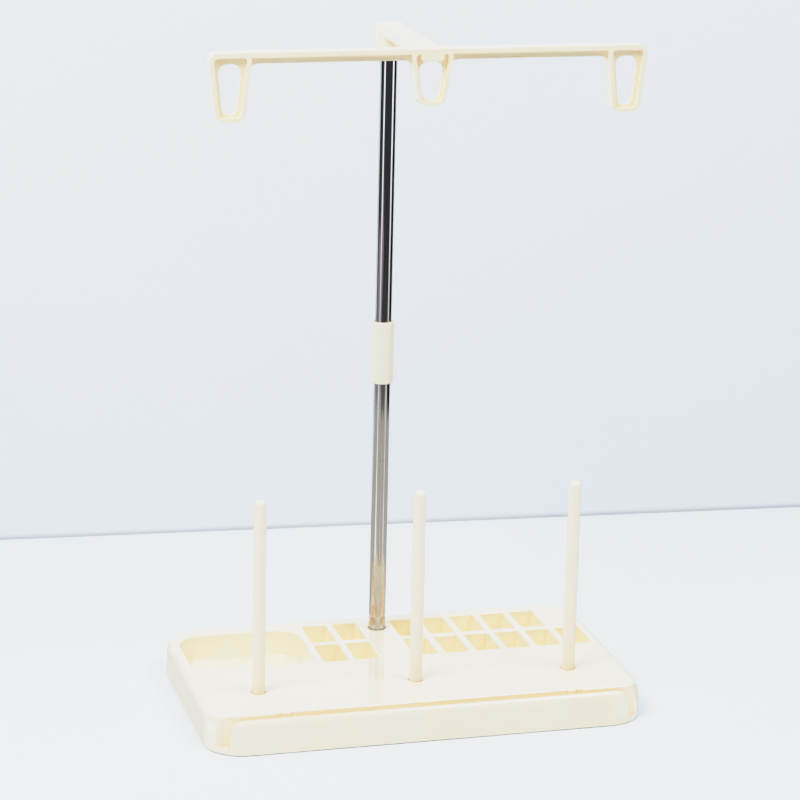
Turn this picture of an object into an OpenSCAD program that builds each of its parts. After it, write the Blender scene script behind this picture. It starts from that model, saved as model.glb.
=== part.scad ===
// Thread rack: a moulded base with bobbin bins, a tray and a ruler slot, three spool pins,
// a two-piece tube mast and a tee-shaped thread guide with three loops on top.
// Millimetres. The origin is on the table under the middle of the base, +Z is up, -Y is the front.

/* [Base] */
// Width of the base along X
base_w = 207; // [190:1:260]
// Depth of the base along Y
base_d = 123.5; // [118:0.5:160]
// Height of the deck above the table
deck_z = 17; // [15:0.5:24]
// Radius of the base's corners seen from above
corner_r = 18; // [12:0.5:24]
// Radius of the rounded edge round the deck
edge_r = 4.5; // [2:0.5:6]
// How far the sides lean in from bottom to top
base_lean_w = 0.6; // [0.2:0.1:1.2]
// Thickness of the skirt
skirt_t = 2.2; // [1.6:0.1:3]
// Thickness of the deck and of the walls moulded below it
deck_t = 2.2; // [1.6:0.1:3]
// Thickness of the floors of the bins, the tray and the slot
floor_t = 1.4; // [1.2:0.1:1.8]
// Thickness of the stiffening ribs under the deck
rib_t = 1.6; // [1:0.1:2.4]
// Height of the free edge of the ribs above the skirt's edge
rib_rise = 2; // [1:0.5:4]

/* [Bins] */
// Width of one bobbin bin along X
bin_w = 11.84; // [10:0.02:13]
// Depth of one bobbin bin along Y
bin_d = 22.3; // [18:0.1:24]
// Wall between two bins side by side
bin_wall_x = 3.46; // [2:0.02:4.5]
// Wall between the two rows of bins
bin_wall_y = 3.6; // [2:0.1:5]
// Height of a bin's floor above the table
bin_floor_z = 3.3; // [2.8:0.1:8]
// Radius of a bin's corners
bin_r = 1; // [0.8:0.1:2]
// Chamfer of the deck's edge round a bin
bin_mouth_t = 0.4; // [0.2:0.1:0.6]
// Clear strip between the left and the right bins, with the mast in it
bin_gap = 16.9; // [16:0.1:20]
// Front edge of the front row
bins_front_y = 2.9; // [0:0.1:6]
// Columns left of the mast
left_cols = 2; // [1:1:2]
// Columns right of the mast in the back row
back_cols = 5; // [3:1:5]
// Columns right of the mast in the front row
front_cols = 6; // [3:1:6]

/* [Tray] */
// Width of the tray along X
tray_w = 59; // [40:0.5:60]
// Depth of the tray along Y
tray_d = 46.1; // [36:0.1:48]
// Height of the tray's floor above the table
tray_floor_z = 3.7; // [3:0.1:8]
// Radius of the tray's corners
tray_r = 12; // [6:0.5:16]
// Radius between the tray's wall and floor
tray_edge_r = 2.5; // [1:0.5:4]
// Rounding of the deck's edge round the tray
tray_mouth_r = 1; // [0.3:0.1:1]
// How far the tray's walls lean in from top to bottom
tray_lean_w = 0.8; // [0.2:0.1:1.5]

/* [Ruler slot] */
// Thickness of the lip in front of the slot
lip_t = 2.7; // [2:0.1:4]
// Width of the slot between the grip pads
slot_w = 4.6; // [4.2:0.1:5]
// Width of the slot at its two ends
slot_end_w = 3.5; // [2:0.1:3.8]
// Length of the wide stretch of the slot
slot_wide_l = 145; // [120:1:150]
// Length of the wide mouth at the slot's left end
slot_left_l = 10; // [7:0.5:12]
// Length over which the slot narrows behind that mouth
slot_taper_l = 4.5; // [2:0.5:6]
// Size of the broken edge of the deck behind the slot
slot_mouth_t = 0.5; // [0.2:0.1:0.6]
// Height of the slot's floor above the table
slot_floor_z = 3; // [2.8:0.1:6]
// Width of a grip pad along the slot
pad_w = 5; // [3:0.5:8]
// How far a grip pad stands out into the slot
pad_out = 1.4; // [0.8:0.1:1.8]
// Distance from the middle of the base to a grip pad
pad_x = 67.4; // [40:0.1:69]

/* [Feet] */
// Radius of a non-slip foot
foot_r = 6; // [4:0.5:7]
// Thickness of a foot
foot_t = 1.5; // [1.4:0.1:3]
// How deep a foot sits in its seat
foot_seat = 1.1; // [0.6:0.1:1.2]
// Distance from the base's side to the middle of a foot
foot_in_x = 15.5; // [12:0.5:20]
// Distance from the base's front or back to the middle of a foot
foot_in_y = 17.75; // [14:0.25:22]

/* [Spool pins] */
// Distance between two spool pins
pin_step_x = 74.5; // [70:0.5:80]
// Place of the row of pins along Y, also that of the guide's bar
pin_y = -28; // [-32:0.5:-20]
// Height of a pin above the deck
pin_h = 92; // [60:1:110]
// Radius of a pin along its straight stretch
pin_r = 3; // [2.5:0.1:3.1]
// Radius of a pin's foot in the base
pin_foot_r = 3.1; // [3.1:0.1:4.5]
// Radius of a pin at its top
pin_tip_r = 2.8; // [1.8:0.1:3]
// Depth of the pin's socket below the deck
pin_socket_l = 13; // [10:0.5:13.5]
// Height above the deck where the straight stretch begins
pin_straight_from = 8; // [5:0.5:12]
// Height above the deck where the straight stretch ends
pin_straight_to = 60; // [40:1:60]

/* [Mast] */
// Radius of the mast's tubes
tube_r = 4; // [3:0.1:4.5]
// Wall of the tubes
tube_wall = 0.7; // [0.5:0.1:1.2]
// Length of each of the two tubes
tube_l = 152.3; // [100:0.1:200]
// Distance from the middle of the base to the mast along Y
mast_y = 42.8; // [38:0.1:46]
// Depth of the mast's socket below the deck
mast_socket_l = 14; // [11:0.5:14]
// Outer radius of the coupler
coupler_r = 5.3; // [5:0.1:7]
// Length of the coupler
coupler_l = 30; // [20:1:50]
// Thickness of the wall across the middle of the coupler
coupler_mid_t = 1.5; // [1:0.1:3]
// Radius of the coupler's rounded ends
coupler_edge_r = 0.6; // [0.2:0.1:0.8]

/* [Thread guide] */
// Distance from the middle loop to an end loop
loop_x = 90; // [80:0.5:92]
// Depth of the guide's bar and loops along Y
guide_d = 7; // [5:0.5:9]
// Thickness of the bar's top flange
flange_t = 2.3; // [1.6:0.1:3]
// How far the thin web hangs below the flange
web_drop = 2.85; // [2:0.05:4]
// Thickness of the thin web
web_t = 2.2; // [1.4:0.1:3]
// Thickness of the rim round a loop
rim_t = 1.8; // [1.4:0.1:2.4]
// Width of the ledge between an end loop's rim and its eyelet
ledge_t = 1.75; // [1:0.05:2]
// Width of the ledge between the middle loop's rim and its eyelet
mid_ledge_t = 0.9; // [0.6:0.05:2]
// Radius between the web and a loop's side
web_fillet_r = 4; // [2:0.5:6]
// Height of an end loop below the guide's top
end_loop_h = 30.2; // [24:0.1:40]
// Width of an end loop at the top
end_loop_top_w = 19; // [16:0.5:22]
// Width of an end loop at the bottom
end_loop_foot_w = 12.6; // [11:0.1:14]
// Height of the middle loop below the guide's top
mid_loop_h = 25.1; // [20:0.1:34]
// Width of the middle loop at the top
mid_loop_top_w = 19.8; // [18:0.1:24]
// Width of the middle loop at the bottom
mid_loop_foot_w = 11.8; // [11:0.1:14]
// Radius of the outer top corner of an end loop
loop_top_r = 3.5; // [1:0.5:5]
// Radius of a loop's bottom corners
loop_foot_r = 4.2; // [3:0.1:5]
// Width of the stem that joins the bar to the mast
stem_w = 10.4; // [9.5:0.1:12]
// Height of the stem
stem_h = 5.5; // [4.5:0.1:7]
// Radius of the stem's lower edges
stem_edge_r = 1.6; // [0.5:0.1:1.7]
// Wall of the stem's sides and of the rib between them
stem_wall = 1.8; // [1.4:0.1:2.4]
// Outer radius of the boss that sits on the mast
boss_r = 6.3; // [5.8:0.1:7]
// Height of the boss
boss_h = 15; // [12:0.5:20]
// Thickness left above the mast in the boss
boss_roof_t = 2.9; // [2:0.1:3.5]
// Turn of the guide about the mast
guide_turn = 0; // [-180:1:180]

/* [Fits] */
// Radial clearance of a spool pin in its socket
pin_fit = 0.05; // [0.02:0.01:0.1]
// Radial clearance of a tube in a socket
tube_fit = 0.05; // [0.02:0.01:0.1]
// Radial clearance of a foot in its seat
foot_fit = 0.1; // [0.05:0.05:0.3]
// How much wider than its bore a socket's mouth is
mouth_wide = 0.5; // [0.2:0.1:1]
// Depth of a socket's wider mouth
mouth_l = 0.8; // [0.4:0.1:1.2]

/* [Hidden] */
$fn = 64;

// Cuts run past the faces that they open by this much
over = 1;
// Arcs run past their tangent points by this much
arc_over = 0.003;
// Small chamfers on the ends of pins, tubes, feet and socket mouths
nick = 0.4;
pin_nick = 0.8;
// Rounding of a spool pin's top
pin_top_r = 1.8;
// Ledge below an eyelet, as a share of the ledge beside it
foot_ledge_share = 0.7;
// Radii of an eyelet's lower and upper corners, as shares of half its width at the bottom
eyelet_foot_share = 0.95;
eyelet_top_share = 1.35;

foot_x = base_w / 2 - foot_in_x;
foot_y = base_d / 2 - foot_in_y;
skirt_z = foot_t - foot_seat;
rib_z = skirt_z + rib_rise;
bin_step_x = bin_w + bin_wall_x;
bin_step_y = bin_d + bin_wall_y;
right_bins_x = bin_gap / 2;
left_bins_x = -bin_gap / 2 - left_cols * bin_step_x + bin_wall_x;
tray_right_x = left_bins_x - bin_wall_x;
tray_x = tray_right_x - tray_w / 2;
tray_y = bins_front_y + tray_d / 2;
lip_back_y = -base_d / 2 + lip_t;
slot_back_y = lip_back_y + slot_w;
slot_end_back_y = lip_back_y + slot_end_w;

pin_floor_z = deck_z - pin_socket_l;
mast_floor_z = deck_z - mast_socket_l;
lower_top_z = mast_floor_z + tube_l;
upper_foot_z = lower_top_z + coupler_mid_t;
upper_top_z = upper_foot_z + tube_l;
coupler_z = lower_top_z + (coupler_mid_t - coupler_l) / 2;
guide_top_z = upper_top_z + boss_roof_t;
socket_r = tube_r + tube_fit;
pin_bore_r = pin_foot_r + pin_fit;
web_z = flange_t + web_drop;

// Unit vector along a vector in the plane
function unit_of(v) = v / norm(v);

// Half the angle at corner p between its neighbours a and b
function half_angle(a, p, b) = acos(unit_of(a - p) * unit_of(b - p)) / 2;

// Where the arc that rounds corner p leaves the side towards q
function arc_end(a, p, b, q, r) = p + unit_of(q - p) * r / tan(half_angle(a, p, b));

// Centre of the arc that rounds corner p
function arc_centre(a, p, b, r) =
    p + unit_of(unit_of(a - p) + unit_of(b - p)) * r / sin(half_angle(a, p, b));

// Outline with straight sides and corners rounded by true arcs; a radius of 0 keeps a corner sharp.
// Each arc is a hair larger than a tangent one, so that it crosses its sides cleanly.
module rounded_outline(points, radii) {
    n = len(points);
    polygon([
        for (i = [0 : n - 1])
            let (a = points[(i + n - 1) % n], p = points[i], b = points[(i + 1) % n])
            each radii[i] > 0
                ? [arc_end(a, p, b, a, radii[i]), arc_end(a, p, b, b, radii[i])]
                : [p]
    ]);
    for (i = [0 : n - 1])
        if (radii[i] > 0)
            translate(arc_centre(points[(i + n - 1) % n], points[i], points[(i + 1) % n], radii[i]))
                circle(radii[i] + arc_over);
}

// Rectangle w by d about the origin with round corners
module rounded_rect(w, d, r) {
    rounded_outline([[-w, -d] / 2, [w, -d] / 2, [w, d] / 2, [-w, d] / 2], [r, r, r, r]);
}

// Section through the rim of a moulded slab: reach is the distance from the axis to its foot
module slab_section(reach, h, edge, lean) {
    side = reach - lean;
    polygon([[0, 0], [reach, 0], [side, h - edge], [side - edge, h - edge], [side - edge, h], [0, h]]);
    translate([side - edge, h - edge])
        circle(edge);
}

// Slab with round corners, leaning sides and a rounded edge round its upper face
module moulded_slab(w, d, h, r, edge, lean) {
    rotate([90, 0, 90])
        linear_extrude(w - 2 * r, center = true) {
            slab_section(d / 2, h, edge, lean);
            mirror([1, 0])
                slab_section(d / 2, h, edge, lean);
        }
    rotate([90, 0, 0])
        linear_extrude(d - 2 * r, center = true) {
            slab_section(w / 2, h, edge, lean);
            mirror([1, 0])
                slab_section(w / 2, h, edge, lean);
        }
    for (quarter = [0 : 3])
        translate([
            (quarter == 0 || quarter == 3 ? 1 : -1) * (w / 2 - r),
            (quarter < 2 ? 1 : -1) * (d / 2 - r),
            0
        ])
            rotate([0, 0, 90 * quarter])
                rotate_extrude(angle = 90)
                    slab_section(r, h, edge, lean);
}

// Section of the cut that breaks the deck's edge at a pocket, with a flat or an arc of the given size;
// reach is the distance from the axis to the pocket's wall
module mouth_section(reach, size, flat) {
    if (flat)
        polygon([
            [reach - size, -size],
            [reach, -size],
            [reach + size, 0],
            [reach + size, over],
            [reach - size, over]
        ]);
    else
        difference() {
            translate([reach - size, -size])
                square([2 * size, size + over]);
            translate([reach + size, -size])
                circle(size);
        }
}

// Cut that breaks the deck's edge all round a pocket of w by d
module soft_mouth(w, d, corner, size, flat) {
    for (turn = [0 : 3]) {
        along = turn % 2 == 0 ? d : w;
        across = turn % 2 == 0 ? w : d;
        rotate([0, 0, 90 * turn]) {
            rotate([90, 0, 0])
                linear_extrude(along - 2 * corner, center = true)
                    mouth_section(across / 2, size, flat);
            translate([across / 2 - corner, along / 2 - corner, 0])
                rotate_extrude(angle = 90)
                    mouth_section(corner, size, flat);
        }
    }
}

// Places of the bins: lower left corner of each
function bin_row(x, y, count) = [for (i = [0 : count - 1]) [x + i * bin_step_x, y]];
bin_places = concat(
    bin_row(left_bins_x, bins_front_y, left_cols),
    bin_row(left_bins_x, bins_front_y + bin_step_y, left_cols),
    bin_row(right_bins_x, bins_front_y, front_cols),
    bin_row(right_bins_x, bins_front_y + bin_step_y, back_cols));

// Open bins, each a straight pocket with a chamfered mouth
module bins() {
    for (place = bin_places)
        translate([place.x + bin_w / 2, place.y + bin_d / 2, 0]) {
            translate([0, 0, bin_floor_z])
                linear_extrude(deck_z)
                    rounded_rect(bin_w, bin_d, bin_r);
            translate([0, 0, deck_z])
                soft_mouth(bin_w, bin_d, bin_r, bin_mouth_t, true);
        }
}

// Solid round the bins below the deck
module bin_walls() {
    for (place = bin_places)
        translate([place.x - bin_wall_x, place.y - bin_wall_y, bin_floor_z - floor_t])
            cube([bin_w + 2 * bin_wall_x, bin_d + 2 * bin_wall_y, deck_z]);
}

// Tray pocket with a rounded mouth and a soft edge round its floor
module tray() {
    translate([tray_x, tray_y, deck_z]) {
        rotate([180, 0, 0])
            moulded_slab(tray_w, tray_d, deck_z - tray_floor_z, tray_r, tray_edge_r, tray_lean_w);
        translate([0, 0, -over])
            linear_extrude(2 * over)
                rounded_rect(tray_w - 2 * tray_lean_w, tray_d - 2 * tray_lean_w, tray_r - tray_lean_w);
        soft_mouth(tray_w, tray_d, tray_r, tray_mouth_r, false);
    }
}

// Solid round the tray below the deck
module tray_walls() {
    translate([tray_x, tray_y, tray_floor_z - floor_t])
        linear_extrude(deck_z)
            rounded_rect(tray_w + 2 * deck_t, tray_d + 2 * deck_t, tray_r + deck_t);
}

// What breaks the deck's edge along the slot's back wall from one point to the next
module slot_mouth(from, to) {
    way = to - from;
    translate([from.x, from.y, deck_z])
        rotate([0, 0, atan2(way.y, way.x)])
            rotate([90, 0, 90])
                linear_extrude(norm(way))
                    mouth_section(0, slot_mouth_t, true);
}

// Straight slot behind the lip, open at both ends, with two grip pads left standing in it.
// Its left end has a wider mouth, so that a card slides in from there.
module ruler_slot() {
    pad_r = (pow(pad_w / 2, 2) + pow(pad_out, 2)) / (2 * pad_out);
    end_x = base_w / 2 + over;
    left_x = slot_left_l - base_w / 2;
    wall = [
        [-end_x, slot_back_y],
        [left_x, slot_back_y],
        [left_x + slot_taper_l, slot_end_back_y],
        [end_x, slot_end_back_y]
    ];
    translate([0, 0, slot_floor_z])
        linear_extrude(deck_z)
            polygon(concat([[end_x, lip_back_y], [-end_x, lip_back_y]], wall));
    for (i = [1 : len(wall) - 1])
        slot_mouth(wall[i - 1], wall[i]);
    difference() {
        union() {
            translate([-slot_wide_l / 2, lip_back_y, slot_floor_z])
                cube([slot_wide_l, slot_w, deck_z]);
            slot_mouth([-slot_wide_l / 2, slot_back_y], [slot_wide_l / 2, slot_back_y]);
        }
        for (side = [-1, 1])
            translate([side * pad_x, slot_back_y - pad_out + pad_r, 0])
                cylinder(h = 2 * deck_z, r = pad_r);
    }
}

// Solid behind and below the slot
module slot_walls() {
    translate([-base_w / 2, -base_d / 2, slot_floor_z - floor_t])
        cube([base_w, lip_t + slot_w + deck_t, deck_z]);
}

// Blind round socket under the deck with a wider mouth
module socket(x, y, r, floor_z) {
    translate([x, y, floor_z])
        cylinder(h = deck_z, r = r);
    translate([x, y, deck_z - mouth_l])
        cylinder(h = deck_z, r = r + mouth_wide);
}

// Round boss under the deck that holds a socket
module boss(x, y, r, floor_z) {
    translate([x, y, floor_z])
        cylinder(h = deck_z - floor_z, r = r);
}

// Stiffening ribs between the skirt, the slot and the bins
module ribs() {
    for (i = [-3 : 3])
        translate([i * pin_step_x / 3 - rib_t / 2, slot_back_y, rib_z])
            cube([rib_t, bins_front_y - slot_back_y, deck_z]);
    translate([-base_w / 2, pin_y - rib_t / 2, rib_z])
        cube([base_w, rib_t, deck_z]);
}

// Hollow under the deck, less all that is moulded inside it
module underside() {
    inset = 2 * (base_lean_w + skirt_t);
    difference() {
        translate([0, 0, -over])
            linear_extrude(deck_z - deck_t + over)
                rounded_rect(base_w - inset, base_d - inset, corner_r - inset / 2);
        bin_walls();
        tray_walls();
        slot_walls();
        ribs();
        for (i = [-1 : 1])
            boss(i * pin_step_x, pin_y, pin_bore_r + deck_t, pin_floor_z - deck_t);
        boss(0, mast_y, socket_r + deck_t, mast_floor_z - deck_t);
        for (x = [-foot_x, foot_x], y = [-foot_y, foot_y])
            boss(x, y, foot_r + foot_fit + deck_t / 2, skirt_z);
    }
}

// Base: one moulding with bins, tray, slot and sockets
module base() {
    color("#f2ece0")
        difference() {
            translate([0, 0, skirt_z])
                moulded_slab(base_w, base_d, deck_z - skirt_z, corner_r, edge_r, base_lean_w);
            underside();
            bins();
            tray();
            ruler_slot();
            for (i = [-1 : 1])
                socket(i * pin_step_x, pin_y, pin_bore_r, pin_floor_z);
            socket(0, mast_y, socket_r, mast_floor_z);
            for (x = [-foot_x, foot_x], y = [-foot_y, foot_y])
                translate([x, y, -over])
                    cylinder(h = foot_t + over, r = foot_r + foot_fit);
        }
}

// Non-slip foot in its seat under a corner
module foot(x, y) {
    color("#4a4a4a")
        translate([x, y, 0])
            rotate_extrude()
                polygon([[0, 0], [foot_r - nick, 0], [foot_r, nick], [foot_r, foot_t], [0, foot_t]]);
}

module foot_front_left() {
    foot(-foot_x, -foot_y);
}

module foot_front_right() {
    foot(foot_x, -foot_y);
}

module foot_back_left() {
    foot(-foot_x, foot_y);
}

module foot_back_right() {
    foot(foot_x, foot_y);
}

// Spool pin: a round peg, straight for most of its height and slimmer towards a rounded top
module spool_pin(x) {
    color("#f0e8d8")
        translate([x, pin_y, deck_z])
            rotate_extrude() {
                polygon([
                    [0, -pin_socket_l],
                    [pin_foot_r - pin_nick, -pin_socket_l],
                    [pin_foot_r, pin_nick - pin_socket_l],
                    [pin_foot_r, pin_straight_from / 2],
                    [pin_r, pin_straight_from],
                    [pin_r, pin_straight_to],
                    [pin_tip_r, pin_h - pin_top_r],
                    [pin_tip_r - pin_top_r, pin_h - pin_top_r],
                    [pin_tip_r - pin_top_r, pin_h],
                    [0, pin_h]
                ]);
                intersection() {
                    translate([pin_tip_r - pin_top_r, pin_h - pin_top_r])
                        circle(pin_top_r);
                    square([pin_tip_r, pin_h]);
                }
            }
}

module spool_pin_left() {
    spool_pin(-pin_step_x);
}

module spool_pin_middle() {
    spool_pin(0);
}

module spool_pin_right() {
    spool_pin(pin_step_x);
}

// Thin-walled tube of the mast that stands on z
module mast_tube(z) {
    bore = tube_r - tube_wall;
    lip = tube_wall / 3;
    color("#c9cbcd")
        translate([0, mast_y, z])
            rotate_extrude()
                polygon([
                    [bore, 0],
                    [tube_r - lip, 0],
                    [tube_r, lip],
                    [tube_r, tube_l - lip],
                    [tube_r - lip, tube_l],
                    [bore, tube_l]
                ]);
}

module lower_tube() {
    mast_tube(mast_floor_z);
}

module upper_tube() {
    mast_tube(upper_foot_z);
}

// Coupler: a sleeve with a wall across its middle, on which both tubes stop
module coupler() {
    half = coupler_l / 2;
    color("#f0e8d8")
        translate([0, mast_y, coupler_z + half])
            rotate_extrude()
                difference() {
                    intersection() {
                        rounded_rect(2 * coupler_r, coupler_l, coupler_edge_r);
                        translate([0, -half])
                            square([coupler_r, coupler_l]);
                    }
                    for (end = [-1, 1])
                        scale([1, end])
                            polygon([
                                [0, coupler_mid_t / 2],
                                [socket_r, coupler_mid_t / 2],
                                [socket_r, half - nick],
                                [socket_r + nick + over, half + over],
                                [0, half + over]
                            ]);
                }
}

// Half the width of a loop at a depth below the guide's top
function loop_half(top_w, foot_w, h, depth) = (top_w + (foot_w - top_w) * depth / h) / 2;

// Outline between two depths of a loop, drawn in from its outer side by inset
module loop_outline(top_w, foot_w, h, from, to, inset, radii) {
    upper = loop_half(top_w, foot_w, h, from) - inset;
    lower = loop_half(top_w, foot_w, h, to) - inset;
    rounded_outline([[-lower, -to], [lower, -to], [upper, -from], [-upper, -from]], radii);
}

// Place and size of each loop: x, top width, foot width, height, outer top radii on the right and left,
// and width of the ledge round its eyelet
loops = [
    [-loop_x, end_loop_top_w, end_loop_foot_w, end_loop_h, 0, loop_top_r, ledge_t],
    [0, mid_loop_top_w, mid_loop_foot_w, mid_loop_h, 0, 0, mid_ledge_t],
    [loop_x, end_loop_top_w, end_loop_foot_w, end_loop_h, loop_top_r, 0, ledge_t]
];

// Full outline of the loops from the front
module loop_bodies() {
    for (lp = loops)
        translate([lp[0], 0])
            loop_outline(lp[1], lp[2], lp[3], 0, lp[3], 0, [loop_foot_r, loop_foot_r, lp[4], lp[5]]);
}

// Recess inside the rim of each loop
module loop_recesses() {
    r = loop_foot_r - rim_t;
    for (lp = loops)
        translate([lp[0], 0])
            loop_outline(lp[1], lp[2], lp[3], flange_t, lp[3] - rim_t, rim_t, [r, r, rim_t, rim_t]);
}

// Eyelet through each loop, which the thread runs through
module eyelets() {
    for (lp = loops) {
        inset = rim_t + lp[6];
        top = max(web_z, lp[0] == 0 ? stem_h : 0);
        foot = lp[3] - rim_t - lp[6] * foot_ledge_share;
        lower = loop_half(lp[1], lp[2], lp[3], foot) - inset;
        low_r = lower * eyelet_foot_share;
        high_r = lower * eyelet_top_share;
        translate([lp[0], 0])
            loop_outline(lp[1], lp[2], lp[3], top, foot, inset, [low_r, low_r, high_r, high_r]);
    }
}

// Fillet between the web and a loop's side that stands at x, with the web on the side of toward
module web_fillet(x, toward) {
    centre = x + toward * web_fillet_r;
    reach = web_fillet_r + rim_t / 2;
    difference() {
        translate([toward > 0 ? centre - reach : centre, -web_z - web_fillet_r])
            square([reach, web_fillet_r]);
        translate([centre, -web_z - web_fillet_r])
            circle(web_fillet_r + arc_over);
    }
}

// Thin web under the flange between the loops, with a fillet at each loop's side
module bar_web() {
    depth = web_z + web_fillet_r;
    translate([-loop_x, -web_z])
        square([2 * loop_x, web_z]);
    for (side = [0, 1])
        mirror([side, 0]) {
            web_fillet(loop_half(mid_loop_top_w, mid_loop_foot_w, mid_loop_h, depth), 1);
            web_fillet(loop_x - loop_half(end_loop_top_w, end_loop_foot_w, end_loop_h, depth), -1);
        }
}

// Section of the stem from the front
module stem_section() {
    rounded_outline([[-stem_w / 2, -stem_h], [stem_w / 2, -stem_h], [stem_w / 2, 0], [-stem_w / 2, 0]],
        [stem_edge_r, stem_edge_r, 0, 0]);
}

// Channel under the stem on both sides of its middle rib
module stem_channel() {
    w = (stem_w - 3 * stem_wall) / 2;
    for (x = [-stem_wall / 2 - w, stem_wall / 2])
        translate([x, -stem_h - over])
            square([w, stem_h + over - flange_t]);
}

// Extrudes a front view along Y between two places
module along_y(y0, y1) {
    translate([0, y1, 0])
        rotate([90, 0, 0])
            linear_extrude(y1 - y0)
                children();
}

// Thread guide: bar with three loops, and a stem with the boss that sits on the mast
module thread_guide() {
    bar_back_y = pin_y + guide_d / 2;
    color("#f0e8d8")
        translate([0, mast_y, guide_top_z])
            rotate([0, 0, guide_turn])
                translate([0, -mast_y, 0])
                    difference() {
                        union() {
                            along_y(pin_y - guide_d / 2, bar_back_y)
                                difference() {
                                    union() {
                                        loop_bodies();
                                        translate([-loop_x, -flange_t])
                                            square([2 * loop_x, flange_t]);
                                    }
                                    loop_recesses();
                                }
                            along_y(pin_y - web_t / 2, pin_y + web_t / 2)
                                difference() {
                                    union() {
                                        loop_bodies();
                                        bar_web();
                                    }
                                    eyelets();
                                }
                            difference() {
                                along_y(pin_y - guide_d / 2, mast_y)
                                    stem_section();
                                along_y(bar_back_y, mast_y - boss_r + stem_wall)
                                    stem_channel();
                            }
                            translate([0, mast_y, -boss_h])
                                cylinder(h = boss_h, r = boss_r);
                        }
                        translate([0, mast_y, -boss_h - over])
                            cylinder(h = boss_h + over - boss_roof_t, r = socket_r);
                    }
}

base();
foot_front_left();
foot_front_right();
foot_back_left();
foot_back_right();
spool_pin_left();
spool_pin_middle();
spool_pin_right();
lower_tube();
coupler();
upper_tube();
thread_guide();
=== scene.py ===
"""Finishes for a packed thread rack, with the pale stage, soft lights and camera of its photograph."""

import math

import bpy
from bpy.props import FloatProperty, FloatVectorProperty, PointerProperty
from mathutils import Matrix, Vector


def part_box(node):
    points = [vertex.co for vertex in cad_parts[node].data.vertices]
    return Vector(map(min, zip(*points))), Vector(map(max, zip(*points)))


bl_info = {
    "name": "Thread rack",
    "version": (1, 0, 0),
    "blender": (4, 5, 0),
    "location": "3D View > Sidebar > Thread rack",
    "description": "Gives a packed thread rack its plastic, plated and rubber finishes and a studio stage",
    "category": "Object",
}

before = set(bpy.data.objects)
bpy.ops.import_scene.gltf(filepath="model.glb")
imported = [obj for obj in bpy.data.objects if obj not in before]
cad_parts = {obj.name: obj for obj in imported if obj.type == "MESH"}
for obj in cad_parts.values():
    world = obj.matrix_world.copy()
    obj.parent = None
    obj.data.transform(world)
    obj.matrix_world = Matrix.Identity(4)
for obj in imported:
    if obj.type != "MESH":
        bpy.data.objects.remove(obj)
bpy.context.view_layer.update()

PINS = ("spool_pin_left", "spool_pin_middle", "spool_pin_right")
TUBES = ("lower_tube", "upper_tube")
FEET = ("foot_front_left", "foot_front_right", "foot_back_left", "foot_back_right")

# Numbers of a Mix node's sockets when it mixes colours, and of the tone curve for all colours.
MIX_FACTOR, MIX_A, MIX_B, MIX_COLOUR_OUT = 0, 6, 7, 2
COMBINED_CURVE = 3
BLACK = (0, 0, 0)

# In the finishes, a scale is features per metre, a depth is metres, a span is the stretch of a noise
# over which its mark comes up, a share is how strongly it colours, and a dulling is how far it roughens.
CLOUD_SCALE = 16.0
CLOUD_SPAN = (0.35, 0.75)
CLOUD_SHARE = 0.8
GRAIN_SCALE = 1400.0
GRAIN_DEPTH = 0.0000006
GRAIN_DULLING = 0.02
SMUDGE_SCALE = 42.0
SMUDGE_SPAN = (0.50, 0.72)
SMUDGE_DULLING = 0.55
SPECK_SCALE = 520.0
SPECK_SPAN = (0.80, 0.84)
SPECK_SHARE = 0.10
SPECK_SHADE = 0.8

# Scratches run the way of the low scales; the last number is how many there are, from 0 to 1.
SIDEWAYS_SCRATCHES = ((30.0, 2600.0, 2600.0), 0.36)
ENDWAYS_SCRATCHES = ((2200.0, 45.0, 45.0), 0.34)
SCRATCH_PATCH_SCALE = 70.0
SCRATCH_PATCH_SPAN = (0.45, 0.65)
SCRATCH_DEPTH = 0.0000015
SCRATCH_DULLING = 0.3

UNDERSIDE_SLOPE = (0.6, 0.9)
UNDERSIDE_SCALE = 2600.0
UNDERSIDE_DEPTH = 0.00001
SEAM_HALF_WIDTH = (0.00005, 0.00025)
EDGE_SAMPLES = 6
SKIN_ROUGHNESS = 0.02
PLASTIC_IOR = 1.5
HOLLOW_REACH = 0.02
HOLLOW_SAMPLES = 8

# The tube's three-part scales go across it twice, then along it.
DRAW_SCALES = (2600.0, 2600.0, 22.0)
DRAW_DULLING = 0.03
WAVE_SCALES = (150.0, 150.0, 60.0)
TARNISH_SCALE = 130.0
TARNISH_SPAN = (0.52, 0.78)
TARNISH_SHARE = 0.7
TARNISH_DULLING = 0.08
PIT_SCALE = 1500.0
PIT_SPAN = (0.78, 0.84)
PIT_SHARE = 0.5
PIT_DEPTH = 0.000004

RUBBER_SCALE = 1900.0
RUBBER_ROUGHNESS = 0.72
RUBBER_IOR = 1.45
RUBBER_EDGE = 0.0002
DUST_SCALE = 240.0
DUST_SPAN = (0.5, 0.8)
DUST_SHARE = 0.25
DUST_DULLING = 0.15
DUST_TINT = (0.22, 0.21, 0.20)

PAINT_SCALE = 3.0
PAINT_SPAN = (0.3, 0.7)
PAINT_SHARE = 0.5
PAINT_SHADE = 0.985
# Colour of the painted shade along the wall's foot.
FOOT_SHADE_TINT = (0.51, 0.519, 0.528)


def middle_of(node):
    """Middle of a CAD node's box at rest."""
    low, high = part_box(node)
    return (low + high) / 2


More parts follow.
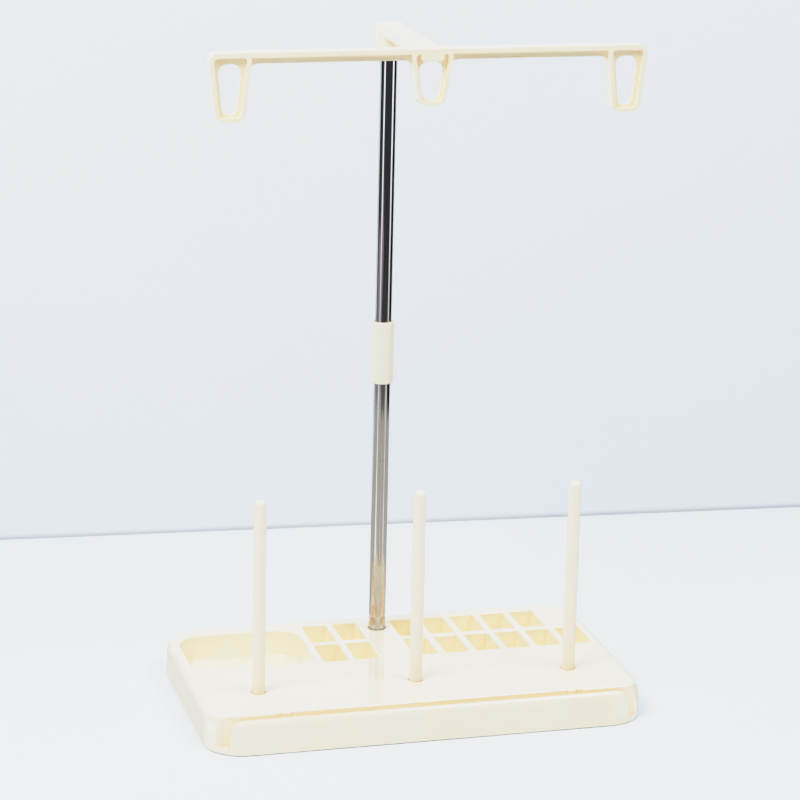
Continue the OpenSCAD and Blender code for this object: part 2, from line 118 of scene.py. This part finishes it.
class RackPlastic(bpy.types.PropertyGroup):
    """Colours, gloss and relief of the moulded plastic"""

    tint: FloatVectorProperty(
        name="Colour", description="Main colour of the moulded cream plastic",
        subtype="COLOR", default=(0.995, 0.886, 0.656), min=0, max=1)
    flow_tint: FloatVectorProperty(
        name="Flow colour", description="Slightly deeper colour where the melt flowed together",
        subtype="COLOR", default=(0.991, 0.867, 0.608), min=0, max=1)
    pin_tint: FloatVectorProperty(
        name="Pin colour", description="Slightly warmer colour of the spool pins",
        subtype="COLOR", default=(0.994, 0.858, 0.655), min=0, max=1)
    coupler_tint: FloatVectorProperty(
        name="Coupler colour", description="Slightly greyer colour of the coupler",
        subtype="COLOR", default=(0.905, 0.816, 0.630), min=0, max=1)
    gloss: FloatProperty(
        name="Roughness", description="Roughness of the polished mould's faces",
        subtype="FACTOR", default=0.08, min=0, max=1)
    worn_gloss: FloatProperty(
        name="Worn roughness", description="Roughness of smudged and rubbed patches",
        subtype="FACTOR", default=0.20, min=0, max=1)
    skin: FloatProperty(
        name="Skin", description="Strength of the mirror-like skin on the base and the guide",
        subtype="FACTOR", default=0.6, min=0, max=1)
    # Painted light: colour of a glow painted into the hollows of bins, tray, slot and guide. It stands in
    # partly for light that the milky plastic passes on and partly for bounced light.
    painted_hollow_glow: FloatVectorProperty(
        name="Glow of hollows",
        description="Light that the milky plastic passes on inside bins, tray, slot and guide",
        subtype="COLOR", default=(0.18, 0.07, 0.038), min=0, max=1)
    under_gloss: FloatProperty(
        name="Underside roughness", description="Roughness of the unpolished inner side of the moulding",
        subtype="FACTOR", default=0.48, min=0, max=1)
    edge_radius: FloatProperty(
        name="Edge softness", description="Radius that the sharp moulded edges are softened by",
        unit="LENGTH", default=0.00035, min=0, max=0.001)
    wave_depth: FloatProperty(
        name="Wave depth", description="Depth of the slow waves in the moulded faces",
        unit="LENGTH", default=0.000012, min=0, max=0.0001)
    sink_depth: FloatProperty(
        name="Sink depth", description="Depth of the sink marks over the sockets",
        unit="LENGTH", default=0.00006, min=0, max=0.0005)
    sink_radius: FloatProperty(
        name="Sink radius", description="Radius of the sink marks over the sockets",
        unit="LENGTH", default=0.013, min=0.005, max=0.03)
    seam_depth: FloatProperty(
        name="Seam height", description="Height of the parting line along pins and coupler",
        unit="LENGTH", default=0.00004, min=0, max=0.0002)


class RackMetal(bpy.types.PropertyGroup):
    """Colours, gloss and relief of the plated tubes"""

    tint: FloatVectorProperty(
        name="Colour", description="Colour that the plated tube reflects straight on",
        subtype="COLOR", default=(0.54, 0.54, 0.54), min=0, max=1)
    dull_tint: FloatVectorProperty(
        name="Dull colour", description="Colour of the slightly tarnished patches",
        subtype="COLOR", default=(0.47, 0.46, 0.43), min=0, max=1)
    gloss: FloatProperty(
        name="Roughness", description="Roughness of the bright plating",
        subtype="FACTOR", default=0.06, min=0, max=1)
    draw_depth: FloatProperty(
        name="Draw line depth", description="Depth of the fine lines that run along a drawn tube",
        unit="LENGTH", default=0.000004, min=0, max=0.0001)
    wave_depth: FloatProperty(
        name="Wave depth", description="Depth of the slow unevenness of the thin tube wall",
        unit="LENGTH", default=0.00001, min=0, max=0.0001)


class RackRubber(bpy.types.PropertyGroup):
    """Colour and grain of the rubber feet"""

    tint: FloatVectorProperty(
        name="Colour", description="Colour of the non-slip feet",
        subtype="COLOR", default=(0.030, 0.030, 0.032), min=0, max=1)
    grain_depth: FloatProperty(
        name="Grain depth", description="Depth of the rubber's fine grain",
        unit="LENGTH", default=0.00004, min=0, max=0.0005)


class RackStage(bpy.types.PropertyGroup):
    """Table, wall, lights and camera of the photograph"""

    table_tint: FloatVectorProperty(
        name="Table colour", description="Colour of the pale table top",
        subtype="COLOR", default=(0.812, 0.916, 0.990), min=0, max=1)
    wall_tint: FloatVectorProperty(
        name="Wall colour", description="Colour of the wall behind the table",
        subtype="COLOR", default=(0.797, 0.864, 0.942), min=0, max=1)
    wall_distance: FloatProperty(
        name="Wall distance", description="Distance from the rack's middle back to the wall",
        unit="LENGTH", default=0.249, min=0.1, max=2)
    wall_turn: FloatProperty(
        name="Wall turn", description="Turn of the wall against the rack's back",
        subtype="ANGLE", default=math.radians(-3.93))
    sky_light: FloatProperty(
        name="Room light", description="Brightness of the even light of the room",
        default=0.10, min=0, max=5)
    room_tint: FloatVectorProperty(
        name="Light colour", description="Colour of the cool daylight of the room",
        subtype="COLOR", default=(1.0, 0.978, 0.995), min=0, max=1)
    box_light: FloatProperty(
        name="Soft box brightness", description="Brightness of the two raised soft boxes at the front",
        default=10.7, min=0, max=50)
    top_light: FloatProperty(
        name="Top light brightness", description="Brightness of the large soft box overhead",
        default=0.45, min=0, max=50)
    strip_light: FloatProperty(
        name="Strip brightness",
        description="Brightness of the tops of the two white strips that the tubes mirror",
        default=2.0, min=0, max=20)
    # Painted glints: streaks on the matt table that only the tubes see.
    painted_glint_light: FloatProperty(
        name="Streak brightness",
        description="Brightness of the two glossy streaks on the table that the tubes mirror",
        default=1.9, min=0, max=20)
    strip_foot_light: FloatProperty(
        name="Strip foot brightness", description="Brightness of the feet of the two white strips",
        default=0.9, min=0, max=20)
    camera_place: FloatVectorProperty(
        name="Camera place", description="Where the photograph was taken from",
        subtype="TRANSLATION", unit="LENGTH", default=(-0.3484, -1.2489, 0.5148))
    camera_yaw: FloatProperty(
        name="Camera yaw", description="Turn of the view towards the rack's right side",
        subtype="ANGLE", default=0.269986)
    camera_pitch: FloatProperty(
        name="Camera pitch", description="Downward tilt of the view",
        subtype="ANGLE", default=0.278488)
    camera_roll: FloatProperty(
        name="Camera roll", description="Roll of the view",
        subtype="ANGLE", default=0.0230878)
    camera_lens: FloatProperty(
        name="Lens", description="Focal length on a sensor 36 mm wide, in millimetres",
        default=131.58, min=20, max=300)


class Wire:
    """A node's output that takes part in Python sums, differences and products."""

    def __init__(self, graph, socket):
        self.graph = graph
        self.socket = socket

    def math(self, operation, *values):
        """Adds a Math node with this wire first."""
        return self.graph.add("ShaderNodeMath", {"operation": operation}, dict(enumerate((self, *values))))

    def __add__(self, other):
        return self.math("ADD", other)

    __radd__ = __add__

    def __sub__(self, other):
        return self.math("SUBTRACT", other)

    def __rsub__(self, other):
        return self.graph.add("ShaderNodeMath", {"operation": "SUBTRACT"}, {0: other, 1: self})

    def __mul__(self, other):
        return self.math("MULTIPLY", other)

    __rmul__ = __mul__

    def __neg__(self):
        return self * -1

    def most(self, other):
        """The larger of two values."""
        return self.math("MAXIMUM", other)

    def size(self):
        """The value without its sign."""
        return self.math("ABSOLUTE")

    def rise(self, low, high):
        """0 below low, 1 above high and smooth in between."""
        return self.graph.add(
            "ShaderNodeMapRange",
            {"interpolation_type": "SMOOTHSTEP"},
            {"Value": self, "From Min": low, "From Max": high})


class Graph:
    """The node tree of one material, filled by short calls."""

    def __init__(self, material):
        material.use_nodes = True
        self.tree = material.node_tree
        self.tree.nodes.clear()

    def add(self, kind, settings=None, sockets=None, out=0):
        """Adds one node: its settings first, then the values or wires of its sockets."""
        node = self.tree.nodes.new(kind)
        for name, value in (settings or {}).items():
            setattr(node, name, value)
        for name, value in (sockets or {}).items():
            if isinstance(value, Wire):
                self.tree.links.new(value.socket, node.inputs[name])
            else:
                node.inputs[name].default_value = value
        return Wire(self, node.outputs[out])

    def place(self):
        """Point on the piece in its own frame, in metres."""
        return self.add("ShaderNodeTexCoord", out="Object")

    def stretch(self, point, scale):
        """A point with each axis scaled by its own factor."""
        return self.add("ShaderNodeVectorMath", {"operation": "MULTIPLY"}, {0: point, 1: scale})

    def part(self, point, axis):
        """One coordinate of a point."""
        return self.add("ShaderNodeSeparateXYZ", sockets={0: point}, out=axis)

    def noise(self, point, scale, detail=2.0, roughness=0.5):
        """Smooth noise from 0 to 1, with its features per metre."""
        return self.add(
            "ShaderNodeTexNoise",
            sockets={"Vector": point, "Scale": scale, "Detail": detail, "Roughness": roughness})

    def blend(self, mask, first, second):
        """Two colours mixed by a mask."""
        return self.add(
            "ShaderNodeMix",
            {"data_type": "RGBA"},
            {MIX_FACTOR: mask, MIX_A: first, MIX_B: second},
            out=MIX_COLOUR_OUT)

    def soft_edges(self, radius):
        """Normal with the edges rounded by a radius."""
        return self.add("ShaderNodeBevel", {"samples": EDGE_SAMPLES}, {"Radius": radius})

    def hollowness(self, reach):
        """0 on open faces, up to 1 deep inside the piece's own hollows, judged over a reach in metres."""
        settings = {"samples": HOLLOW_SAMPLES, "only_local": True}
        return 1 - self.add("ShaderNodeAmbientOcclusion", settings, {"Distance": reach}, out="AO")

    def relief(self, height, normal=None):
        """Normal of a surface raised by a height in metres."""
        sockets = {"Height": height, "Distance": 1.0}
        if normal:
            sockets["Normal"] = normal
        return self.add("ShaderNodeBump", sockets=sockets)

    def away(self, point, centre):
        """Distance of a point from a centre."""
        settings = {"operation": "DISTANCE"}
        return self.add("ShaderNodeVectorMath", settings, {0: point, 1: centre}, out="Value")

    def front_only(self, shader):
        """A shader that is clear from behind."""
        behind = self.add("ShaderNodeNewGeometry", out="Backfacing")
        clear = self.add("ShaderNodeBsdfTransparent")
        return self.add("ShaderNodeMixShader", sockets={0: behind, 1: shader, 2: clear})

    def finish(self, constants, wires):
        """Adds the surface shader with its constants and varying sockets, and the output."""
        shader = self.add("ShaderNodeBsdfPrincipled", sockets={**constants, **wires})
        self.add_output(shader)

    def add_output(self, shader):
        """Connects a shader to the material's surface."""
        output = self.tree.nodes.new("ShaderNodeOutputMaterial")
        self.tree.links.new(shader.socket, output.inputs["Surface"])


def opaque(colour):
    """A colour with full alpha, as colour sockets take it."""
    return (*colour, 1.0)


def shaded(colour, share):
    """A colour made darker to a share of itself."""
    return [part * share for part in colour]


def dress(names, material):
    """Puts a material on each named CAD node."""
    for name in names:
        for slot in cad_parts[name].material_slots:
            slot.material = material


def hairlines(graph, point, scales, share):
    """Sparse thin lines in patches, as a mask from 0 to 1."""
    lines = graph.noise(graph.stretch(point, scales), 1.0, detail=1.0)
    patches = graph.noise(point, SCRATCH_PATCH_SCALE).rise(*SCRATCH_PATCH_SPAN)
    return lines.rise(1.0 - share, 1.0 - share / 2) * patches


def moulded_plastic(name, look, tint=None, sinks=(), seam=None, tone=0.0, skin=0.0, paint_hollow_light=False):
    """Glossy cream plastic from a polished mould.

    tint: the piece's own colour, if it has one
    sinks: places of the thick sockets that the deck has sunk over
    seam: axis and place of a parting line
    tone: how far the whole piece takes the flow colour
    skin: strength of the mirror-like skin
    paint_hollow_light: whether the piece gets a glow painted inside its hollows
    """
    material = bpy.data.materials.new(name)
    graph = Graph(material)
    point = graph.place()
    cloud = graph.noise(point, CLOUD_SCALE, detail=3.0)
    grain = graph.noise(point, GRAIN_SCALE, detail=1.0)
    smudges = graph.noise(point, SMUDGE_SCALE, detail=5.0, roughness=0.62).rise(*SMUDGE_SPAN)
    sideways = hairlines(graph, point, *SIDEWAYS_SCRATCHES)
    scratches = sideways.most(hairlines(graph, point, *ENDWAYS_SCRATCHES))
    normal_up = graph.part(graph.add("ShaderNodeNewGeometry", out="Normal"), "Z")
    underside = (-normal_up).rise(*UNDERSIDE_SLOPE)

    flow = cloud.rise(*CLOUD_SPAN) * CLOUD_SHARE + tone
    colour = graph.blend(flow, opaque(tint or look.tint), opaque(tint or look.flow_tint))
    specks = graph.noise(point, SPECK_SCALE, detail=0.0).rise(*SPECK_SPAN) * SPECK_SHARE
    colour = graph.blend(specks, colour, opaque(shaded(look.flow_tint, SPECK_SHADE)))

    rubbed = smudges * SMUDGE_DULLING + scratches * SCRATCH_DULLING
    roughness = rubbed * (look.worn_gloss - look.gloss) + grain * GRAIN_DULLING + look.gloss
    roughness = roughness + underside * (look.under_gloss - look.gloss)

    height = cloud * look.wave_depth + grain * GRAIN_DEPTH - scratches * SCRATCH_DEPTH
    height = height + underside * graph.noise(point, UNDERSIDE_SCALE) * UNDERSIDE_DEPTH
    flat_point = graph.stretch(point, (1, 1, 0))
    for x, y in sinks:
        away = graph.away(flat_point, (x, y, 0))
        height = height - (1 - away.rise(0.0, look.sink_radius)) * look.sink_depth
    if seam:
        axis, at = seam
        line = (graph.part(point, axis) - at).size()
        height = height + (1 - line.rise(*SEAM_HALF_WIDTH)) * look.seam_depth
    normal = graph.relief(height, graph.soft_edges(look.edge_radius))

    constants = {"IOR": PLASTIC_IOR, "Coat Weight": skin, "Coat Roughness": SKIN_ROUGHNESS}
    wires = {"Base Color": colour, "Roughness": roughness, "Normal": normal}
    # Painted light: a glow painted into the piece's hollows, stronger the deeper they are.
    if paint_hollow_light:
        constants["Emission Strength"] = 1.0
        wires["Emission Color"] = graph.blend(
            graph.hollowness(HOLLOW_REACH), opaque(BLACK), opaque(look.painted_hollow_glow))
    graph.finish(constants, wires)
    return material


def plated_tube(look):
    """Bright plating on a thin drawn tube."""
    material = bpy.data.materials.new("plated_tube")
    graph = Graph(material)
    point = graph.place()
    drawn = graph.noise(graph.stretch(point, DRAW_SCALES), 1.0)
    waves = graph.noise(graph.stretch(point, WAVE_SCALES), 1.0)
    tarnish = graph.noise(point, TARNISH_SCALE, detail=5.0, roughness=0.65).rise(*TARNISH_SPAN)
    pits = graph.noise(point, PIT_SCALE, detail=0.0).rise(*PIT_SPAN)

    dulled = tarnish * TARNISH_SHARE + pits * PIT_SHARE
    colour = graph.blend(dulled, opaque(look.tint), opaque(look.dull_tint))
    roughness = tarnish * TARNISH_DULLING + drawn * DRAW_DULLING + look.gloss
    height = drawn * look.draw_depth + waves * look.wave_depth - pits * PIT_DEPTH
    graph.finish(
        {"Metallic": 1.0},
        {"Base Color": colour, "Roughness": roughness, "Normal": graph.relief(height)})
    return material


def foot_rubber(look):
    """Matt rubber with a fine grain and some dust."""
    material = bpy.data.materials.new("foot_rubber")
    graph = Graph(material)
    point = graph.place()
    grain = graph.noise(point, RUBBER_SCALE, detail=3.0)
    dust = graph.noise(point, DUST_SCALE, detail=4.0).rise(*DUST_SPAN)
    colour = graph.blend(dust * DUST_SHARE, opaque(look.tint), opaque(DUST_TINT))
    roughness = dust * DUST_DULLING + RUBBER_ROUGHNESS
    normal = graph.relief(grain * look.grain_depth, graph.soft_edges(RUBBER_EDGE))
    graph.finish(
        {"IOR": RUBBER_IOR},
        {"Base Color": colour, "Roughness": roughness, "Normal": normal})
    return material


class RACK_OT_finish_base(bpy.types.Operator):
    """Dresses the moulded base in glossy cream plastic with sink marks over its sockets"""

    bl_idname = "rack.finish_base"
    bl_label = "Finish the base"

    def execute(self, context):
        look = context.scene.rack_plastic
        sinks = [middle_of(name).xy for name in (*PINS, TUBES[0])]
        plastic = moulded_plastic("base_plastic", look, sinks=sinks, skin=look.skin, paint_hollow_light=True)
        dress(["base"], plastic)
        return {"FINISHED"}


class RACK_OT_finish_pins(bpy.types.Operator):
    """Dresses the three spool pins, each with a parting line along its sides"""

    bl_idname = "rack.finish_pins"
    bl_label = "Finish the spool pins"

    def execute(self, context):
        look = context.scene.rack_plastic
        row = middle_of(PINS[0]).y
        plastic = moulded_plastic("pin_plastic", look, tint=look.pin_tint, seam=("Y", row))
        dress(PINS, plastic)
        return {"FINISHED"}


class RACK_OT_finish_mast(bpy.types.Operator):
    """Dresses the two plated tubes and the plastic coupler between them"""

    bl_idname = "rack.finish_mast"
    bl_label = "Finish the mast"

    def execute(self, context):
        dress(TUBES, plated_tube(context.scene.rack_metal))
        look = context.scene.rack_plastic
        across = middle_of("coupler").y
        plastic = moulded_plastic("coupler_plastic", look, tint=look.coupler_tint, seam=("Y", across))
        dress(["coupler"], plastic)
        return {"FINISHED"}


class RACK_OT_finish_guide(bpy.types.Operator):
    """Dresses the thread guide with its three loops"""

    bl_idname = "rack.finish_guide"
    bl_label = "Finish the thread guide"

    DEEPER_TONE = 0.6

    def execute(self, context):
        look = context.scene.rack_plastic
        plastic = moulded_plastic("guide_plastic", look, tone=self.DEEPER_TONE, skin=look.skin, paint_hollow_light=True)
        dress(["thread_guide"], plastic)
        return {"FINISHED"}


class RACK_OT_finish_feet(bpy.types.Operator):
    """Dresses the four non-slip feet in matt rubber"""

    bl_idname = "rack.finish_feet"
    bl_label = "Finish the feet"

    def execute(self, context):
        dress(FEET, foot_rubber(context.scene.rack_rubber))
        return {"FINISHED"}


def sheet_of(name, corners, material):
    """A flat four-cornered stage piece."""
    mesh = bpy.data.meshes.new(name)
    mesh.from_pydata(corners, [], [(0, 1, 2, 3)])
    sheet = bpy.data.objects.new(name, mesh)
    bpy.context.scene.collection.objects.link(sheet)
    mesh.materials.append(material)
    return sheet


def level_corners(low, high, z=0.0):
    """Corners of a level rectangle whose front looks up."""
    (x0, y0), (x1, y1) = low, high
    return [(x0, y0, z), (x1, y0, z), (x1, y1, z), (x0, y1, z)]


def band_corners(first, last, across):
    """Corners of a band from one place to another, across being half its width."""
    return [first - across, first + across, last + across, last - across]


def stage_paint(name, tint, roughness, one_sided=False, foot_shade_height=0.0):
    """Pale paint. One-sided paint can't be seen from behind, and foot_shade_height is the height of a
    painted shade along its foot.
    """
    material = bpy.data.materials.new(name)
    graph = Graph(material)
    point = graph.place()
    shade = graph.noise(point, PAINT_SCALE).rise(*PAINT_SPAN) * PAINT_SHARE
    colour = graph.blend(shade, opaque(tint), opaque(shaded(tint, PAINT_SHADE)))
    # Painted shade: darker towards the foot, where the wall meets the table.
    if foot_shade_height:
        height = graph.part(point, "Z").rise(0.0, foot_shade_height)
        colour = graph.blend(height, opaque(FOOT_SHADE_TINT), colour)
    shader = graph.add("ShaderNodeBsdfPrincipled", sockets={"Base Color": colour, "Roughness": roughness})
    graph.add_output(graph.front_only(shader) if one_sided else shader)
    return material


def mirror_card(name, corners, material):
    """A card that only mirrors see."""
    card = sheet_of(name, corners, material)
    card.visible_camera = False
    card.visible_diffuse = False
    card.visible_shadow = False
    card.visible_transmission = False


def heading(bearing, rise=0.0):
    """Direction at a bearing from the front, positive to the right, and an angle above the table."""
    level = math.cos(rise)
    return Vector((math.sin(bearing) * level, -math.cos(bearing) * level, math.sin(rise)))


def soft_box(name, place, target, width, tint, brightness):
    """A square soft box of even brightness that faces a target from its place."""
    light = bpy.data.lights.new(name, "AREA")
    light.shape = "SQUARE"
    light.size = width
    light.energy = brightness * math.pi * width ** 2
    light.color = tint
    box = bpy.data.objects.new(name, light)
    bpy.context.scene.collection.objects.link(box)
    box.location = place
    box.rotation_euler = (place - target).to_track_quat("Z", "Y").to_euler()
    box.visible_camera = False


def glow(name, first, last=None, reach=(0.0, 1.0), centre=None):
    """A surface that gives even light on its front alone.

    With a last colour, it turns to that one between two heights or, with a centre, two distances from it.
    """
    material = bpy.data.materials.new(name)
    graph = Graph(material)
    colour = opaque(first)
    if last:
        point = graph.place()
        along = graph.away(point, centre) if centre else graph.part(point, "Z")
        colour = graph.blend(along.rise(*reach), colour, opaque(last))
    lamp = graph.add("ShaderNodeBsdfPrincipled", sockets={
        "Base Color": opaque(BLACK),
        "Specular IOR Level": 0.0,
        "Emission Strength": 1.0,
        "Emission Color": colour})
    graph.add_output(graph.front_only(lamp))
    return material


class RACK_OT_set_stage(bpy.types.Operator):
    """Builds the pale table and wall, the soft boxes, the mirror cards and the camera of the photograph"""

    bl_idname = "rack.set_stage"
    bl_label = "Set the stage"

    TABLE_REACH = 6.0
    TABLE_ROUGHNESS = 0.9
    WALL_ROUGHNESS = 0.8
    WALL_HEIGHT = 4.0
    # Height of the painted shade along the wall's foot.
    FOOT_SHADE_HEIGHT = 0.0035

    # Soft boxes: bearing from the front, and brightness against the first.
    BOXES = {
        "left": (math.radians(-58), 1.0),
        "right": (math.radians(50), 0.67),
    }
    BOX_RISE = math.radians(52)
    BOX_DISTANCE = 1.3
    BOX_WIDTH = 0.6
    TOP_BOX_BEARING = math.radians(-12)
    TOP_BOX_RISE = math.radians(74)
    TOP_BOX_DISTANCE = 1.2
    TOP_BOX_WIDTH = 1.2

    # Level cards, a painted reflection of the dim room: low corner, high corner, shade.
    CARD_GAP = 0.001
    CARDS = {
        "front_near": ((-0.45, -0.52), (0.42, -0.375), (0.16, 0.16, 0.165)),
        "front_middle": ((-0.45, -0.75), (0.42, -0.52), (0.065, 0.065, 0.068)),
        "front_far": ((-6.0, -6.0), (6.0, -0.75), (0.045, 0.048, 0.058)),
        "left_near": ((-0.95, -0.75), (-0.45, 6.0), (0.40, 0.32, 0.39)),
        "left_far": ((-6.0, -0.75), (-0.95, 6.0), (0.06, 0.06, 0.065)),
        "right": ((0.42, -0.75), (6.0, 6.0), (0.010, 0.010, 0.012)),
    }
    WALL_LEFT = -0.33
    WALL_RIGHT = 0.39
    WALL_CARD_SHADE = (0.02, 0.02, 0.022)

    # Painted reflection of the table around the base: shades near the mast and far from it.
    SHEEN_SHADES = ((0.74, 0.715, 0.667), (0.65, 0.62, 0.565))
    SHEEN_REACH = (0.10, 0.38)
    SHEEN_LEFT = -0.45
    SHEEN_RIGHT = 0.42
    SHEEN_FRONT = -0.375

    # Painted reflections of white strips beyond the table and painted glints on it: bearing and width.
    STRIPS = {
        "left": (math.radians(-63), 0.13),
        "right": (math.radians(56), 0.16),
    }
    STRIP_DISTANCE = 0.41
    STRIP_HEIGHT = 0.32
    STRIP_FADE = (0.03, 0.24)
    STREAKS = {
        "left": (math.radians(-62), 0.045),
        "right": (math.radians(44.5), 0.04),
    }
    STREAK_REACH = (0.14, 0.405)
    STREAK_HEIGHT = 0.055

    # Light in the scene, and how bright the picture shows it.
    TONE_CURVE = (
        (0.3, 0.3), (0.55, 0.55), (0.7, 0.679), (0.85, 0.761), (1.0, 0.811),
        (1.2, 0.851), (1.5, 0.88), (2.0, 0.90), (4.0, 0.975),
    )
    TONE_RANGE = 4.0

    def execute(self, context):
        look = context.scene.rack_stage
        self.set_table(look)
        self.set_room_cards(look)
        self.set_sheen(look)
        self.set_strips(look)
        self.set_lights(context, look)
        self.set_camera(context, look)
        self.set_tone(context)
        return {"FINISHED"}

    def wall_corners(self, look, x0, x1, gap=0.0):
        """Corners of the wall between two places across, or of a card a gap in front of it."""
        foot_and_top = ((x0, 0), (x1, 0), (x1, self.WALL_HEIGHT), (x0, self.WALL_HEIGHT))
        slope = math.tan(look.wall_turn)
        return [(x, look.wall_distance + x * slope - gap, z) for x, z in foot_and_top]

    def mast_foot(self):
        """Middle of the mast, just above the table."""
        mast = middle_of(TUBES[0])
        return Vector((mast.x, mast.y, self.CARD_GAP))

    def set_table(self, look):
        """Table top under the feet, and the wall behind it."""
        reach = self.TABLE_REACH
        table_paint = stage_paint("table_paint", look.table_tint, self.TABLE_ROUGHNESS)
        sheet_of("table", level_corners((-reach, -reach), (reach, reach)), table_paint)
        wall_paint = stage_paint(
            "wall_paint", look.wall_tint, self.WALL_ROUGHNESS, one_sided=True, foot_shade_height=self.FOOT_SHADE_HEIGHT)
        sheet_of("wall", self.wall_corners(look, -reach, reach), wall_paint)

    def set_room_cards(self, look):
        """Painted reflection of the dim room beyond the table and beside the wall, as the tubes mirror it.
        """
        for name, (low, high, shade) in self.CARDS.items():
            card = "card_" + name
            mirror_card(card, level_corners(low, high, self.CARD_GAP), glow(card, shade))
        dark = glow("card_wall", self.WALL_CARD_SHADE)
        left = self.wall_corners(look, -self.TABLE_REACH, self.WALL_LEFT, self.CARD_GAP)
        mirror_card("card_wall_left", left, dark)
        right = self.wall_corners(look, self.WALL_RIGHT, self.TABLE_REACH, self.CARD_GAP)
        mirror_card("card_wall_right", right, dark)

    def set_sheen(self, look):
        """Painted reflection of the bright table around the base, as the tubes mirror it."""
        sheen = glow("table_sheen", *self.SHEEN_SHADES, self.SHEEN_REACH, self.mast_foot())
        low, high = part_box("base")
        left, right, front = self.SHEEN_LEFT, self.SHEEN_RIGHT, self.SHEEN_FRONT
        back = look.wall_distance
        sides = {
            "front": ((left, front), (right, low.y)),
            "left": ((left, low.y), (low.x, back)),
            "right": ((high.x, low.y), (right, back)),
            "back": ((low.x, high.y), (high.x, back)),
        }
        for side, corners in sides.items():
            mirror_card("sheen_" + side, level_corners(*corners, self.CARD_GAP), sheen)

    def set_strips(self, look):
        """Painted reflections of white strips and of glints on the table on both sides, as the tubes mirror
        them.
        """
        foot = self.mast_foot()
        low = Vector((0, 0, self.STREAK_HEIGHT))
        high = Vector((0, 0, self.STRIP_HEIGHT))
        white = glow("white_strip", (look.strip_foot_light,) * 3, (look.strip_light,) * 3, self.STRIP_FADE)
        for side, (bearing, width) in self.STRIPS.items():
            across = heading(bearing - math.pi / 2) * width / 2
            middle = foot + heading(bearing) * self.STRIP_DISTANCE
            mirror_card("strip_" + side, band_corners(middle + low, middle + high, across), white)
        streak = glow("table_painted_glint", (look.painted_glint_light,) * 3)
        lift = Vector((0, 0, self.CARD_GAP))
        for side, (bearing, width) in self.STREAKS.items():
            across = heading(bearing - math.pi / 2) * width / 2
            near, end = (foot + lift + heading(bearing) * reach for reach in self.STREAK_REACH)
            mirror_card("streak_" + side, band_corners(near, end, across), streak)
            mirror_card("streak_foot_" + side, band_corners(end, end - lift + low, across), streak)

    def set_lights(self, context, look):
        """Even light of the room, a raised soft box on each side of the front and a weak one overhead."""
        world = bpy.data.worlds.new("room")
        world.use_nodes = True
        room = world.node_tree.nodes["Background"]
        room.inputs["Color"].default_value = opaque(look.room_tint)
        room.inputs["Strength"].default_value = look.sky_light
        context.scene.world = world
        target = middle_of("base")
        for side, (bearing, share) in self.BOXES.items():
            place = target + heading(bearing, self.BOX_RISE) * self.BOX_DISTANCE
            brightness = look.box_light * share
            soft_box("soft_box_" + side, place, target, self.BOX_WIDTH, look.room_tint, brightness)
        place = target + heading(self.TOP_BOX_BEARING, self.TOP_BOX_RISE) * self.TOP_BOX_DISTANCE
        soft_box("soft_box_top", place, target, self.TOP_BOX_WIDTH, look.room_tint, look.top_light)

    def set_camera(self, context, look):
        """Camera at the photograph's place and angle."""
        camera = bpy.data.cameras.new("camera")
        camera.lens = look.camera_lens
        holder = bpy.data.objects.new("camera", camera)
        context.scene.collection.objects.link(holder)
        turn = Matrix.Rotation(-look.camera_yaw, 4, "Z")
        tilt = Matrix.Rotation(math.pi / 2 - look.camera_pitch, 4, "X")
        roll = Matrix.Rotation(look.camera_roll, 4, "Z")
        holder.matrix_world = Matrix.Translation(look.camera_place) @ turn @ tilt @ roll
        context.scene.camera = holder

    def set_tone(self, context):
        """Bright product photograph's tone: shadows as they are, highlights held below white."""
        settings = context.scene.view_settings
        settings.view_transform = "Standard"
        settings.use_curve_mapping = True
        mapping = settings.curve_mapping
        mapping.white_level = (self.TONE_RANGE,) * 3
        curve = mapping.curves[COMBINED_CURVE]
        for light, shown in self.TONE_CURVE:
            curve.points.new(light / self.TONE_RANGE, shown)
        for end, shown in ((0, 0.0), (len(curve.points) - 1, self.TONE_CURVE[-1][1])):
            curve.points[end].location.y = shown
        mapping.update()


class RACK_PT_steps(bpy.types.Panel):
    """Lists the steps that dress the rack"""

    bl_idname = "RACK_PT_steps"
    bl_label = "Thread rack"
    bl_space_type = "VIEW_3D"
    bl_region_type = "UI"
    bl_category = "Thread rack"

    def draw(self, context):
        scene = context.scene
        for step in STEPS:
            self.layout.operator(step.bl_idname)
        for group in (scene.rack_plastic, scene.rack_metal, scene.rack_rubber, scene.rack_stage):
            box = self.layout.box()
            for name in group.__annotations__:
                box.prop(group, name)


GROUPS = {
    "rack_plastic": RackPlastic,
    "rack_metal": RackMetal,
    "rack_rubber": RackRubber,
    "rack_stage": RackStage,
}
STEPS = (
    RACK_OT_finish_base,
    RACK_OT_finish_pins,
    RACK_OT_finish_mast,
    RACK_OT_finish_guide,
    RACK_OT_finish_feet,
    RACK_OT_set_stage,
)


def register():
    """Adds the rack's settings and steps to Blender."""
    for kind in (*GROUPS.values(), *STEPS, RACK_PT_steps):
        bpy.utils.register_class(kind)
    for name, group in GROUPS.items():
        setattr(bpy.types.Scene, name, PointerProperty(type=group))


def unregister():
    """Takes the rack's settings and steps out of Blender."""
    for name in GROUPS:
        delattr(bpy.types.Scene, name)
    for kind in (RACK_PT_steps, *reversed(STEPS), *reversed(GROUPS.values())):
        bpy.utils.unregister_class(kind)


def main():
    """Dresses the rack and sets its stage."""
    register()
    bpy.ops.rack.finish_base()
    bpy.ops.rack.finish_pins()
    bpy.ops.rack.finish_mast()
    bpy.ops.rack.finish_guide()
    bpy.ops.rack.finish_feet()
    bpy.ops.rack.set_stage()


if __name__ == "__main__":
    main()
